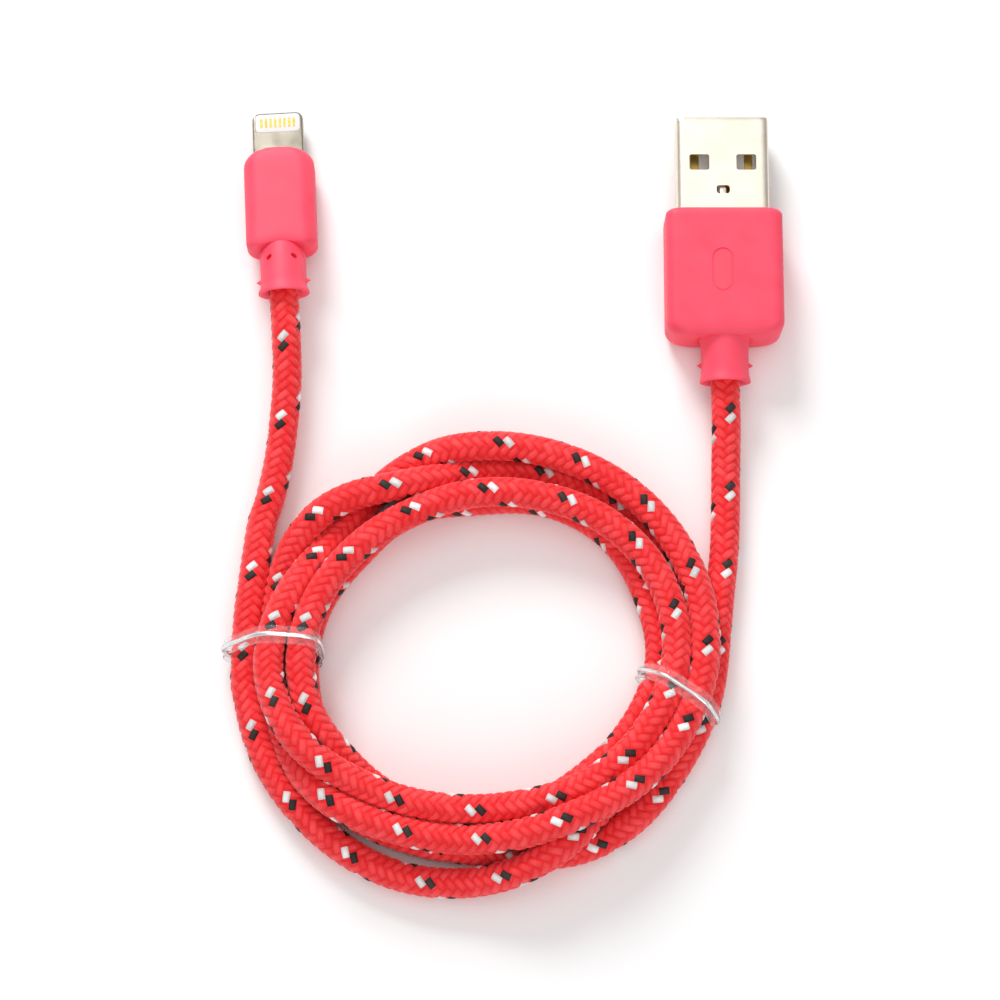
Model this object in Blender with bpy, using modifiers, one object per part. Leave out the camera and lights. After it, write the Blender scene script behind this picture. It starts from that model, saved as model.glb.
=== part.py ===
"""A coiled, braided phone charging cable: charger plug, phone plug, cord and two wire ties.

Metres, +Z up. The cable lies on the plane Z = 0, with the origin under the middle of the box round
its two plugs. Both plugs point towards +Y. Each plug is modelled in its own frame, with +Y towards
its tip, +Z up and its origin at the middle of its housing's front face.
"""

import math

import bmesh
import bpy
from mathutils import Euler, Matrix, Vector

# Driving dimensions
CORD_DIAMETER = 0.0038
GAP = 0.0003
FINE_GAP = 0.0001
CONTACT_GAP = 0.00004

CHARGER_FRONT = (0.0275, 0.00405, 0.0040)
CHARGER_SHELL_SIZE = (0.0120, 0.0045)
CHARGER_SHELL_EXPOSED = 0.0126
CHARGER_SHELL_BURIED = 0.0060
CHARGER_SHELL_WALL = 0.00032
CHARGER_SHELL_CORNER = 0.0006
CHARGER_WINDOW_NEAR = 0.00176
CHARGER_WINDOW_FAR = 0.00434
CHARGER_WINDOW_LENGTH = 0.0021
CHARGER_WINDOW_TO_TIP = 0.0051
CHARGER_LATCH_HALF_WIDTH = 0.00095
CHARGER_LATCH_LENGTH = 0.0012
CHARGER_LATCH_TO_TIP = 0.0093
CHARGER_HOUSING_SIZE = (0.0151, 0.0170, 0.0080)
CHARGER_COLLAR_LENGTH = 0.0057
CHARGER_CONTACT_XS = (-0.0035, -0.0010, 0.0010, 0.0035)
CHARGER_CONTACT_HALF_WIDTH = 0.0005
CHARGER_CONTACT_THICKNESS = 0.00025
CHARGER_CONTACT_BACK = -0.0077
CHARGER_OUTER_CONTACT_FRONT = 0.0112
CHARGER_INNER_CONTACT_FRONT = 0.0102
CHARGER_MOULD_LOW = (-0.0056, -0.0145, -0.0022)
CHARGER_MOULD_HIGH = (0.0056, -0.0064, 0.0022)

PHONE_FRONT = (-0.03045, 0.01245, 0.00283)
PHONE_TURN = (math.radians(-7.0), 0.0, math.radians(3.4))
PHONE_TAB_SIZE = (0.0067, 0.0015)
PHONE_TAB_EXPOSED = 0.0060
PHONE_TAB_BURIED = 0.0030
PHONE_INSERT_SIZE = (0.0059, 0.0026)
PHONE_CONTACT_SIZE = (0.00034, 0.0014, 0.0002)
PHONE_CONTACT_PITCH = 0.00061
PHONE_HOUSING_SIZE = (0.0092, 0.0133, 0.0057)
PHONE_COLLAR_LENGTH = 0.0069
PHONE_WIRE_XS = (-0.0018, -0.0006, 0.0006, 0.0018)
PHONE_BOARD_LOW = (-0.0025, -0.0085, -0.0003)
PHONE_BOARD_HIGH = (0.0025, 0.0028, 0.0003)
PHONE_CHIP_LOW = (-0.0010, -0.0062, 0.00035)
PHONE_CHIP_HIGH = (0.0010, -0.0042, 0.0010)
PHONE_MOULD_LOW = (-0.0035, -0.0130, -0.0018)
PHONE_MOULD_HIGH = (0.0035, -0.0033, 0.0018)

CHARGER_HOUSING_CORNER = 0.0012
PHONE_HOUSING_CORNER = 0.0022
HOUSING_EDGE = 0.0007
MOULD_GAP = 0.00015
MOULD_END_GAP = 0.0002
BORE_OVERLAP = 0.0005
CUT_OVERSHOOT = 0.001

COLLAR_RADIUS = 0.0031
COLLAR_LIP_RADIUS = 0.0033
COLLAR_FLARE_LENGTH = 0.0012
COLLAR_BORE_RADIUS = CORD_DIAMETER / 2 + GAP

COIL_CENTRE = (-0.0046, -0.05505)
COIL_INNER_RADIUS = 0.0198
COIL_OUTER_RADIUS = 0.0303
COIL_HEIGHT = 0.0074

TIE_SLEEVE_WIDTH = 0.0022
TIE_SLEEVE_THICKNESS = 0.0010
TIE_CORNER = 0.0008
TIE_WIRE_RADIUS = 0.0003
TIE_NOTCH_DEPTH = TIE_SLEEVE_THICKNESS + GAP
TIE_NOTCH_WIDTH = 0.0032
TIES = {
    "tie_left": ((-0.0295, -0.05175), math.radians(-4.0), 0.0117),
    "tie_right": ((0.0200, -0.05745), math.radians(-34.0), 0.0140),
}

# The leads' routes, from the collar's mouth to the coil, through the middle of the cord
PHONE_LEAD_ROUTE = (
    (-0.02895, -0.0125, 0.00515),
    (-0.0288, -0.0180, 0.0043),
    (-0.02915, -0.0230, 0.0034),
    (-0.0298, -0.0285, 0.0026),
    (-0.0308, -0.0335, 0.0021),
    (-0.0319, -0.0383, 0.00195),
)
CHARGER_LEAD_ROUTE = (
    (0.0276, -0.0240, 0.0034),
    (0.0275, -0.0290, 0.0025),
    (0.02735, -0.0345, 0.0021),
    (0.0270, -0.0400, 0.00195),
    (0.0263, -0.0447, 0.00195),
)

WIRE_RADIUS = 0.0004
WIRE_SPREAD = 0.00062
WIRE_COLOURS = {
    "red": (0.70, 0.03, 0.03),
    "white": (0.85, 0.85, 0.82),
    "green": (0.03, 0.40, 0.10),
    "black": (0.02, 0.02, 0.02),
}

ROUND_STEPS = 16
COIL_STEPS = 48
CORNER_STEPS = 3
# Curves are drawn in millimetres and their meshes are scaled down to metres
CURVE_SCALE = 1000


def clear_scene():
    """Starts from an empty scene."""
    for obj in list(bpy.data.objects):
        bpy.data.objects.remove(obj)


def new_collection(name):
    collection = bpy.data.collections.new(name)
    bpy.context.scene.collection.children.link(collection)
    return collection


def new_material(name, colour, roughness, metallic=0.0):
    """A Principled material of one colour."""
    material = bpy.data.materials.new(name)
    material.use_nodes = True
    shader = material.node_tree.nodes["Principled BSDF"]
    shader.inputs["Base Color"].default_value = (*colour, 1.0)
    shader.inputs["Roughness"].default_value = roughness
    shader.inputs["Metallic"].default_value = metallic
    return material


def evaluated_mesh(obj):
    bpy.context.view_layer.update()
    graph = bpy.context.evaluated_depsgraph_get()
    return bpy.data.meshes.new_from_object(obj.evaluated_get(graph), depsgraph=graph)


def place(mesh, name, collection, parent=None, location=(0, 0, 0), rotation=(0, 0, 0)):
    """Makes an object of a mesh, in its collection and in its parent's frame."""
    obj = bpy.data.objects.new(name, mesh)
    collection.objects.link(obj)
    obj.parent = parent
    obj.location = location
    obj.rotation_euler = rotation
    return obj


def box_mesh(name, low, high):
    """A closed box between two corners."""
    shape = bmesh.new()
    bmesh.ops.create_cube(shape, size=1.0)
    size = Vector(high) - Vector(low)
    middle = (Vector(high) + Vector(low)) / 2
    fit = Matrix.Translation(middle) @ Matrix.Diagonal((*size, 1.0))
    bmesh.ops.transform(shape, matrix=fit, verts=shape.verts)
    mesh = bpy.data.meshes.new(name)
    shape.to_mesh(mesh)
    shape.free()
    return mesh


def curve_mesh(data):
    """A millimetre curve's solid as a mesh in metres, with its loose caps welded on."""
    guide = bpy.data.objects.new(data.name, data)
    bpy.context.scene.collection.objects.link(guide)
    mesh = evaluated_mesh(guide)
    bpy.data.objects.remove(guide)
    shape = bmesh.new()
    shape.from_mesh(mesh)
    bmesh.ops.remove_doubles(shape, verts=shape.verts, dist=0.001)
    bmesh.ops.scale(shape, vec=(1 / CURVE_SCALE,) * 3, verts=shape.verts)
    bmesh.ops.recalc_face_normals(shape, faces=shape.faces)
    shape.to_mesh(mesh)
    shape.free()
    return mesh


def outline_mesh(name, points, thickness):
    """A flat outline in X and Y, with its thickness along Z."""
    data = bpy.data.curves.new(name, "CURVE")
    data.dimensions = "2D"
    data.fill_mode = "BOTH"
    data.extrude = CURVE_SCALE * thickness / 2
    spline = data.splines.new("POLY")
    spline.points.add(len(points) - 1)
    spline.use_cyclic_u = True
    for point, (x, y) in zip(spline.points, points):
        point.co = (CURVE_SCALE * x, CURVE_SCALE * y, 0.0, 1.0)
    return curve_mesh(data)


def tube_mesh(name, points, radius, resolution=2):
    """A round rod with capped ends through a line of points."""
    data = bpy.data.curves.new(name, "CURVE")
    data.dimensions = "3D"
    data.bevel_depth = CURVE_SCALE * radius
    data.bevel_resolution = resolution
    data.use_fill_caps = True
    spline = data.splines.new("POLY")
    spline.points.add(len(points) - 1)
    for point, place_at in zip(spline.points, points):
        point.co = (*(CURVE_SCALE * value for value in place_at), 1.0)
    return curve_mesh(data)


def arc(centre, radius, start, end, steps):
    """Points along an arc in a plane, angles in degrees."""
    points = []
    for step in range(steps + 1):
        angle = math.radians(start + (end - start) * step / steps)
        points.append((centre[0] + radius * math.cos(angle), centre[1] + radius * math.sin(angle)))
    return points


def rounded_rectangle(width, height, radius, steps=CORNER_STEPS):
    """The outline of a rectangle with rounded corners, round the origin."""
    x = width / 2 - radius
    y = height / 2 - radius
    points = []
    for corner, (cx, cy) in enumerate(((x, y), (-x, y), (-x, -y), (x, -y))):
        points += arc((cx, cy), radius, 90 * corner, 90 * corner + 90, steps)
    return points


def prism_mesh(name, width, height, radius, back, front, steps=CORNER_STEPS):
    """A rounded bar along Y: width along X, height along Z."""
    mesh = outline_mesh(name, rounded_rectangle(width, height, radius, steps), front - back)
    mesh.transform(Matrix.Rotation(math.radians(90), 4, "X"))
    mesh.transform(Matrix.Translation((0, (front + back) / 2, 0)))
    return mesh


def bevel(obj, width, segments):
    """Rounds an object's sharp edges."""
    modifier = obj.modifiers.new("bevel", "BEVEL")
    modifier.width = width
    modifier.segments = segments
    modifier.limit_method = "ANGLE"
    modifier.angle_limit = math.radians(60)
    return modifier


def combine(obj, other, operation):
    """Joins a cutter or a second body to an object, or cuts it away."""
    modifier = obj.modifiers.new(operation.lower(), "BOOLEAN")
    modifier.operation = operation
    modifier.solver = "EXACT"
    modifier.object = other
    return modifier


class Builder:
    """Holds the two collections, and makes the pieces and the cutters in them."""

    def __init__(self):
        self.pieces = new_collection("charging_cable")
        self.cutters = new_collection("cutters")

    def frame(self, name, location, rotation=(0, 0, 0)):
        """An empty that a plug's pieces hang from."""
        empty = bpy.data.objects.new(name, None)
        empty.location = location
        empty.rotation_euler = rotation
        self.pieces.objects.link(empty)
        return empty

    def piece(self, mesh, name, material, parent=None, location=(0, 0, 0), rotation=(0, 0, 0)):
        obj = place(mesh, name, self.pieces, parent, location, rotation)
        obj.data.materials.clear()
        obj.data.materials.append(material)
        return obj

    def cutter(self, mesh, parent=None, location=(0, 0, 0), rotation=(0, 0, 0)):
        obj = place(mesh, "cutter", self.cutters, parent, location, rotation)
        obj.hide_render = True
        obj.display_type = "WIRE"
        return obj

    def cut(self, obj, mesh, location=(0, 0, 0), rotation=(0, 0, 0)):
        return combine(obj, self.cutter(mesh, obj.parent, location, rotation), "DIFFERENCE")

    def join(self, obj, mesh):
        return combine(obj, self.cutter(mesh, obj.parent), "UNION")


def grown_box(low, high, gap):
    """A box's corners, moved out by a gap on every side."""
    return [value - gap for value in low], [value + gap for value in high]


def turned_mesh(name, profile, steps):
    """A closed ring about Z, from a closed profile of (radius, height) points."""
    mesh = bpy.data.meshes.new(name)
    points = [(radius, 0.0, height) for radius, height in profile]
    edges = [(index, (index + 1) % len(points)) for index in range(len(points))]
    mesh.from_pydata(points, edges, [])
    guide = bpy.data.objects.new(name, mesh)
    bpy.context.scene.collection.objects.link(guide)
    screw = guide.modifiers.new("screw", "SCREW")
    screw.steps = steps
    screw.render_steps = steps
    screw.use_merge_vertices = True
    screw.merge_threshold = 0.000001
    solid = evaluated_mesh(guide)
    bpy.data.objects.remove(guide)
    return solid


def turned_along_y(name, profile, steps):
    """A solid turned about Y, from (radius, distance along Y) points that start and end on the axis."""
    mesh = bpy.data.meshes.new(name)
    mesh.from_pydata([(r, 0.0, y) for r, y in profile], [(i, i + 1) for i in range(len(profile) - 1)], [])
    guide = bpy.data.objects.new(name, mesh)
    bpy.context.scene.collection.objects.link(guide)
    screw = guide.modifiers.new("screw", "SCREW")
    screw.steps = steps
    screw.render_steps = steps
    screw.use_merge_vertices = True
    screw.merge_threshold = 0.000001
    solid = evaluated_mesh(guide)
    bpy.data.objects.remove(guide)
    solid.transform(Matrix.Rotation(math.radians(-90), 4, "X"))
    return solid


def smooth_points(route, count):
    """Evenly spread points on a smooth curve through a route (Catmull-Rom)."""
    knots = [Vector(point) for point in route]
    knots = [2 * knots[0] - knots[1], *knots, 2 * knots[-1] - knots[-2]]
    spans = len(knots) - 3
    points = []
    for index in range(count):
        at = spans * index / (count - 1)
        span = min(int(at), spans - 1)
        t = at - span
        a, b, c, d = knots[span : span + 4]
        points.append(
            0.5 * (2 * b + (c - a) * t + (2 * a - 5 * b + 4 * c - d) * t**2 + (3 * b - a - 3 * c + d) * t**3)
        )
    return points


def collar_profile(start, end):
    """A collar's outline, from its root in the housing to its thin flared lip."""
    return (
        (0.0, start),
        (COLLAR_RADIUS, start),
        (COLLAR_RADIUS, end + COLLAR_FLARE_LENGTH),
        (COLLAR_LIP_RADIUS, end + FINE_GAP),
        (COLLAR_LIP_RADIUS, end),
        (0.0, end),
    )


def wire_path(start_x, start_y, end_x, end_z, end_y, points=7):
    """An insulated wire's line from a contact or pad to its place in the cord, as an S curve."""
    line = []
    for index in range(points):
        t = index / (points - 1)
        ease = t * t * (3 - 2 * t)
        line.append((start_x + (end_x - start_x) * ease, start_y + (end_y - start_y) * t, end_z * ease))
    return line


def wire_paths(start_xs, start_y, end_y):
    """The four wires' lines, left to right, each ending at its corner of the cord's core."""
    corners = ((-1, 1), (-1, -1), (1, 1), (1, -1))
    return [
        wire_path(x, start_y, sx * WIRE_SPREAD, sz * WIRE_SPREAD, end_y)
        for x, (sx, sz) in zip(start_xs, corners)
    ]


def add_wires(builder, prefix, frame, paths, materials):
    for (colour, material), path in zip(materials.items(), paths):
        builder.piece(tube_mesh("wire", path, WIRE_RADIUS, 1), f"{prefix}_wire_{colour}", material, frame)


def cut_wire_channels(builder, mould, paths, front_end, back_end):
    """Cuts a channel for each wire through an inner mould, from end to end."""
    for path in paths:
        line = [(path[0][0], front_end, path[0][2]), *path, (path[-1][0], back_end, path[-1][2])]
        builder.cut(mould, tube_mesh("channel", line, WIRE_RADIUS + FINE_GAP, 1))


def add_charger_shell(builder, frame, material):
    """The plug's sheet-metal shell: a rounded box section with windows and a latch hole."""
    width, height = CHARGER_SHELL_SIZE
    wall = CHARGER_SHELL_WALL
    corner = CHARGER_SHELL_CORNER
    back, front = -CHARGER_SHELL_BURIED, CHARGER_SHELL_EXPOSED
    outside = prism_mesh("shell", width, height, corner, back, front)
    shell = builder.piece(outside, "charger_plug_shell", material, frame)
    inner_width, inner_height = width - 2 * wall, height - 2 * wall
    inside = prism_mesh(
        "inside", inner_width, inner_height, corner / 2, back - CUT_OVERSHOOT, front + CUT_OVERSHOOT
    )
    builder.cut(shell, inside)
    window_front = front - CHARGER_WINDOW_TO_TIP
    window_back = window_front - CHARGER_WINDOW_LENGTH
    for side in (-1, 1):
        near, far = sorted((side * CHARGER_WINDOW_NEAR, side * CHARGER_WINDOW_FAR))
        window = box_mesh("window", (near, window_back, -height), (far, window_front, height))
        builder.cut(shell, window)
    latch_front = front - CHARGER_LATCH_TO_TIP
    latch_low = (-CHARGER_LATCH_HALF_WIDTH, latch_front - CHARGER_LATCH_LENGTH, height / 4)
    latch_high = (CHARGER_LATCH_HALF_WIDTH, latch_front, height)
    builder.cut(shell, box_mesh("latch", latch_low, latch_high))


def add_charger_tongue(builder, frame, tongue_material, gold):
    """The insulating tongue in the shell's lower half, with four contacts let into its top."""
    wall = CHARGER_SHELL_WALL
    half_width = CHARGER_SHELL_SIZE[0] / 2 - wall - FINE_GAP
    top = -0.0001
    bottom = -CHARGER_SHELL_SIZE[1] / 2 + wall + FINE_GAP
    back = -CHARGER_SHELL_BURIED - 0.0003
    front = CHARGER_SHELL_EXPOSED - 0.0004
    block = box_mesh("tongue", (-half_width, back, bottom), (half_width, front, top))
    tongue = builder.piece(block, "charger_plug_tongue", tongue_material, frame)
    names = ("power", "data_minus", "data_plus", "ground")
    outer, inner = CHARGER_OUTER_CONTACT_FRONT, CHARGER_INNER_CONTACT_FRONT
    for name, x, contact_front in zip(names, CHARGER_CONTACT_XS, (outer, inner, inner, outer)):
        low = (x - CHARGER_CONTACT_HALF_WIDTH, CHARGER_CONTACT_BACK, top - CHARGER_CONTACT_THICKNESS)
        high = (x + CHARGER_CONTACT_HALF_WIDTH, contact_front, top)
        builder.piece(box_mesh(name, low, high), f"charger_contact_{name}", gold, frame)
        groove_low, groove_high = grown_box(low, high, CONTACT_GAP)
        groove_high = (groove_high[0], groove_high[1], CUT_OVERSHOOT)
        builder.cut(tongue, box_mesh("groove", groove_low, groove_high))


def add_charger_housing(builder, frame, material):
    """The soft overmould: a rounded block and its collar, hollow for what it holds."""
    name = "charger_plug_housing"
    collar_end = add_housing_block(
        builder, name, CHARGER_HOUSING_SIZE, CHARGER_HOUSING_CORNER, CHARGER_COLLAR_LENGTH, material, frame
    )
    housing = bpy.data.objects[name]
    metal = (*CHARGER_SHELL_SIZE, CHARGER_SHELL_CORNER, CHARGER_SHELL_BURIED)
    cut_plug_hollow(builder, housing, metal, CHARGER_MOULD_LOW, CHARGER_MOULD_HIGH, collar_end)


def add_housing_block(builder, name, size, corner, collar_length, material, frame):
    """A housing before it is hollowed: a block with soft edges and a turned collar behind it."""
    width, length, height = size
    block = prism_mesh("housing", width, height, corner, -length, 0.0)
    housing = builder.piece(block, name, material, frame)
    bevel(housing, HOUSING_EDGE, 2)
    collar_end = -length - collar_length
    outline = collar_profile(-length + CUT_OVERSHOOT, collar_end)
    builder.join(housing, turned_along_y("collar", outline, ROUND_STEPS))
    return collar_end


def cut_plug_hollow(builder, housing, metal, mould_low, mould_high, collar_end):
    """Hollows a housing: a pocket for the metal, one for the inner mould, and the cord's bore."""
    width, height, corner, depth = metal
    pocket = prism_mesh(
        "pocket", width + 2 * FINE_GAP, height + 2 * FINE_GAP, corner + FINE_GAP,
        -depth - 2 * FINE_GAP, CUT_OVERSHOOT,
    )
    builder.cut(housing, pocket)
    low = (mould_low[0] - MOULD_GAP, mould_low[1] - MOULD_END_GAP, mould_low[2] - MOULD_GAP)
    high = (mould_high[0] + MOULD_GAP, -depth - FINE_GAP, mould_high[2] + MOULD_GAP)
    builder.cut(housing, box_mesh("mould", low, high))
    bore_start, bore_end = low[1] + BORE_OVERLAP, collar_end - CUT_OVERSHOOT
    bore = (
        (0.0, bore_start),
        (COLLAR_BORE_RADIUS, bore_start),
        (COLLAR_BORE_RADIUS, bore_end),
        (0.0, bore_end),
    )
    builder.cut(housing, turned_along_y("bore", bore, ROUND_STEPS))


def add_charger_plug(builder, materials, wire_materials):
    frame = builder.frame("charger_plug_frame", CHARGER_FRONT)
    add_charger_shell(builder, frame, materials["nickel"])
    add_charger_tongue(builder, frame, materials["tongue_plastic"], materials["gold"])
    add_charger_housing(builder, frame, materials["housing_plastic"])
    mould_back, mould_front = CHARGER_MOULD_LOW[1], CHARGER_MOULD_HIGH[1]
    wire_start = CHARGER_CONTACT_BACK - 2 * FINE_GAP
    paths = wire_paths(CHARGER_CONTACT_XS, wire_start, mould_back)
    block = box_mesh("mould", CHARGER_MOULD_LOW, CHARGER_MOULD_HIGH)
    mould = builder.piece(block, "charger_plug_inner_mould", materials["mould_plastic"], frame)
    cut_wire_channels(builder, mould, paths, mould_front + CUT_OVERSHOOT, mould_back - CUT_OVERSHOOT)
    for x in CHARGER_CONTACT_XS:
        half_width = CHARGER_CONTACT_HALF_WIDTH + FINE_GAP
        low = (x - half_width, CHARGER_CONTACT_BACK - GAP, -0.00045)
        high = (x + half_width, mould_front + CUT_OVERSHOOT, 0.0)
        builder.cut(mould, box_mesh("tail", low, high))
    add_wires(builder, "charger", frame, paths, wire_materials)
    return frame


def add_phone_tab(builder, frame, nickel, white_plastic, gold):
    """The flat tab: a metal frame round a white insert with eight contacts on each side."""
    width, height = PHONE_TAB_SIZE
    tab = outline_mesh("tab", tab_outline(), height)
    tab_piece = builder.piece(tab, "phone_plug_tab_frame", nickel, frame)
    insert_width, insert_length = PHONE_INSERT_SIZE
    insert_middle = PHONE_TAB_EXPOSED - 0.0002 - insert_length / 2
    corner = 0.0005
    hole_outline = rounded_rectangle(
        insert_width + 2 * CONTACT_GAP, insert_length + 2 * CONTACT_GAP, corner + CONTACT_GAP
    )
    builder.cut(tab_piece, outline_mesh("hole", hole_outline, 2 * height), (0, insert_middle, 0))
    slot_top = 0.0004
    slot_half_width = PHONE_BOARD_HIGH[0] + FINE_GAP
    slot_low = (-slot_half_width, -PHONE_TAB_BURIED - CUT_OVERSHOOT, -slot_top)
    slot_high = (slot_half_width, insert_middle, slot_top)
    builder.cut(tab_piece, box_mesh("slot", slot_low, slot_high))
    insert_outline = rounded_rectangle(insert_width, insert_length, corner)
    insert_mesh = outline_mesh("insert", insert_outline, height - 2 * CONTACT_GAP)
    insert = builder.piece(insert_mesh, "phone_plug_insert", white_plastic, frame, (0, insert_middle, 0))
    contact_width, contact_length, contact_depth = PHONE_CONTACT_SIZE
    contact_mesh = outline_mesh(
        "contact", rounded_rectangle(contact_width, contact_length, 0.0001, 1), contact_depth
    )
    for side, sign in (("top", 1), ("bottom", -1)):
        level = sign * (height / 2 - CONTACT_GAP - contact_depth / 2)
        for index in range(8):
            x = (index - 3.5) * PHONE_CONTACT_PITCH
            builder.piece(
                contact_mesh, f"phone_contact_{side}_{index + 1}", gold, frame, (x, insert_middle, level)
            )
            pocket = box_mesh(
                "pocket",
                (
                    x - contact_width / 2 - CONTACT_GAP,
                    -contact_length / 2 - CONTACT_GAP,
                    level - contact_depth / 2 - (CONTACT_GAP if sign > 0 else 0.001),
                ),
                (
                    x + contact_width / 2 + CONTACT_GAP,
                    contact_length / 2 + CONTACT_GAP,
                    level + contact_depth / 2 + (CONTACT_GAP if sign < 0 else 0.001),
                ),
            )
            builder.cut(insert, pocket, (0, insert_middle, 0))


def tab_outline():
    """The tab seen from above: straight sides and a tip with two round corners."""
    half = PHONE_TAB_SIZE[0] / 2
    corner = 0.0010
    points = [(-half, -PHONE_TAB_BURIED), (half, -PHONE_TAB_BURIED)]
    points += arc((half - corner, PHONE_TAB_EXPOSED - corner), corner, 0, 90, 4)
    points += arc((-half + corner, PHONE_TAB_EXPOSED - corner), corner, 90, 180, 4)
    return points


def add_phone_board(builder, frame, board_material, chip_material):
    """The circuit board behind the contacts, and its chip."""
    board = box_mesh("board", PHONE_BOARD_LOW, PHONE_BOARD_HIGH)
    builder.piece(board, "phone_plug_board", board_material, frame)
    chip = box_mesh("chip", PHONE_CHIP_LOW, PHONE_CHIP_HIGH)
    builder.piece(chip, "phone_plug_chip", chip_material, frame)


def add_phone_plug(builder, materials, wire_materials):
    frame = builder.frame("phone_plug_frame", PHONE_FRONT, PHONE_TURN)
    add_phone_tab(builder, frame, materials["nickel"], materials["white_plastic"], materials["gold"])
    add_phone_board(builder, frame, materials["board"], materials["chip"])
    name = "phone_plug_housing"
    collar_end = add_housing_block(
        builder, name, PHONE_HOUSING_SIZE, PHONE_HOUSING_CORNER, PHONE_COLLAR_LENGTH,
        materials["housing_plastic"], frame
    )
    metal = (*PHONE_TAB_SIZE, 2 * FINE_GAP, PHONE_TAB_BURIED)
    cut_plug_hollow(builder, bpy.data.objects[name], metal, PHONE_MOULD_LOW, PHONE_MOULD_HIGH, collar_end)
    mould_back = PHONE_MOULD_LOW[1]
    paths = wire_paths(PHONE_WIRE_XS, PHONE_BOARD_LOW[1] - 2 * FINE_GAP, mould_back)
    block = box_mesh("mould", PHONE_MOULD_LOW, PHONE_MOULD_HIGH)
    mould = builder.piece(block, "phone_plug_inner_mould", materials["mould_plastic"], frame)
    board_low, board_high = grown_box(PHONE_BOARD_LOW, PHONE_BOARD_HIGH, 2 * FINE_GAP)
    builder.cut(mould, box_mesh("board", (board_low[0], board_low[1] - FINE_GAP, board_low[2]), board_high))
    chip_low, chip_high = grown_box(PHONE_CHIP_LOW, PHONE_CHIP_HIGH, 2 * FINE_GAP)
    builder.cut(mould, box_mesh("chip", chip_low, chip_high))
    cut_wire_channels(builder, mould, paths, PHONE_BOARD_LOW[1] + BORE_OVERLAP, mould_back - CUT_OVERSHOOT)
    add_wires(builder, "phone", frame, paths, wire_materials)
    return frame


def lead_points(frame, inner_end, mouth, route):
    """A lead's line: straight along the plug's axis inside its collar, then along its route."""
    bpy.context.view_layer.update()
    ends = [frame.matrix_world @ Vector((0, y, 0)) for y in (inner_end, mouth)]
    return smooth_points([*ends, *route], 2 * len(route) + 3)


def add_cord(builder, phone_frame, charger_frame, material):
    """The cord: two leads and the coil between them, as plain solids."""
    phone_mouth = -PHONE_HOUSING_SIZE[1] - PHONE_COLLAR_LENGTH
    charger_mouth = -CHARGER_HOUSING_SIZE[1] - CHARGER_COLLAR_LENGTH
    leads = (
        ("cord_phone_lead", phone_frame, PHONE_MOULD_LOW[1] - 0.0005, phone_mouth, PHONE_LEAD_ROUTE),
        ("cord_charger_lead", charger_frame, CHARGER_MOULD_LOW[1] - 0.0005, charger_mouth, CHARGER_LEAD_ROUTE),
    )
    for name, frame, inner_end, mouth, route in leads:
        line = lead_points(frame, inner_end, mouth, route)
        builder.piece(tube_mesh(name, line, CORD_DIAMETER / 2), name, material)
    ring = turned_mesh("coil", coil_profile(), COIL_STEPS)
    coil = builder.piece(ring, "cord_coil", material, None, (*COIL_CENTRE, 0))
    for (x, y), turn, span in TIES.values():
        low = (-span, -TIE_NOTCH_WIDTH / 2, -CUT_OVERSHOOT)
        high = (span, TIE_NOTCH_WIDTH / 2, TIE_NOTCH_DEPTH)
        builder.cut(coil, box_mesh("notch", low, high), (x, y, 0), (0, 0, turn))


def coil_profile():
    """The coil's section, with its upper corners rounded like the strands there."""
    radius = CORD_DIAMETER / 2
    top = COIL_HEIGHT - radius
    profile = arc((COIL_OUTER_RADIUS - radius, top), radius, 90, 0, CORNER_STEPS)
    profile += [(COIL_OUTER_RADIUS, 0.0006), (COIL_OUTER_RADIUS - 0.0006, 0.0)]
    profile += [(COIL_INNER_RADIUS + 0.0006, 0.0), (COIL_INNER_RADIUS, 0.0006)]
    profile += arc((COIL_INNER_RADIUS + radius, top), radius, 180, 90, CORNER_STEPS)
    return profile


def tie_outline(span):
    """A tie's sleeve seen along the cord: a flat band round the coil, its ends meeting underneath."""
    thickness = TIE_SLEEVE_THICKNESS
    inner_height = COIL_HEIGHT + GAP - thickness
    outer = band_side(span + 2 * thickness, inner_height + 2 * thickness, TIE_CORNER + thickness)
    inner = band_side(span, inner_height, TIE_CORNER)
    return outer + inner[::-1]


def band_side(width, height, radius):
    """One side of a tie's band, from its first end under the coil round to its second."""
    split = 0.0006
    outline = rounded_rectangle(width, height, radius, 4)
    right_start = outline[15:] + outline[:15]
    return [(split, -height / 2), *right_start, (-split, -height / 2)]


def add_tie(builder, name, centre, turn, span, sleeve_material, wire_material):
    """A clear flat sleeve round the coil, and the wire that runs inside it."""
    middle = (TIE_SLEEVE_THICKNESS + COIL_HEIGHT + GAP) / 2
    upright = Euler((math.radians(90), 0, 0)).to_matrix().to_4x4()
    place_at = (*centre, middle)
    band = outline_mesh("band", tie_outline(span), TIE_SLEEVE_WIDTH)
    band.transform(upright)
    sleeve = builder.piece(band, f"{name}_sleeve", sleeve_material, None, place_at, (0, 0, turn))
    thickness = TIE_SLEEVE_THICKNESS
    core = band_side(span + thickness, COIL_HEIGHT + GAP, TIE_CORNER + thickness / 2)
    line = [(x, 0.0, z) for x, z in core]
    end = line[0][0] - 0.0004
    overshoot = [(end, 0.0, line[0][2]), *line, (-end, 0.0, line[-1][2])]
    channel = tube_mesh("channel", overshoot, TIE_WIRE_RADIUS + FINE_GAP, 1)
    builder.cut(sleeve, channel, place_at, (0, 0, turn))
    wire = tube_mesh("wire", line, TIE_WIRE_RADIUS, 1)
    builder.piece(wire, f"{name}_wire", wire_material, None, place_at, (0, 0, turn))


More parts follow.
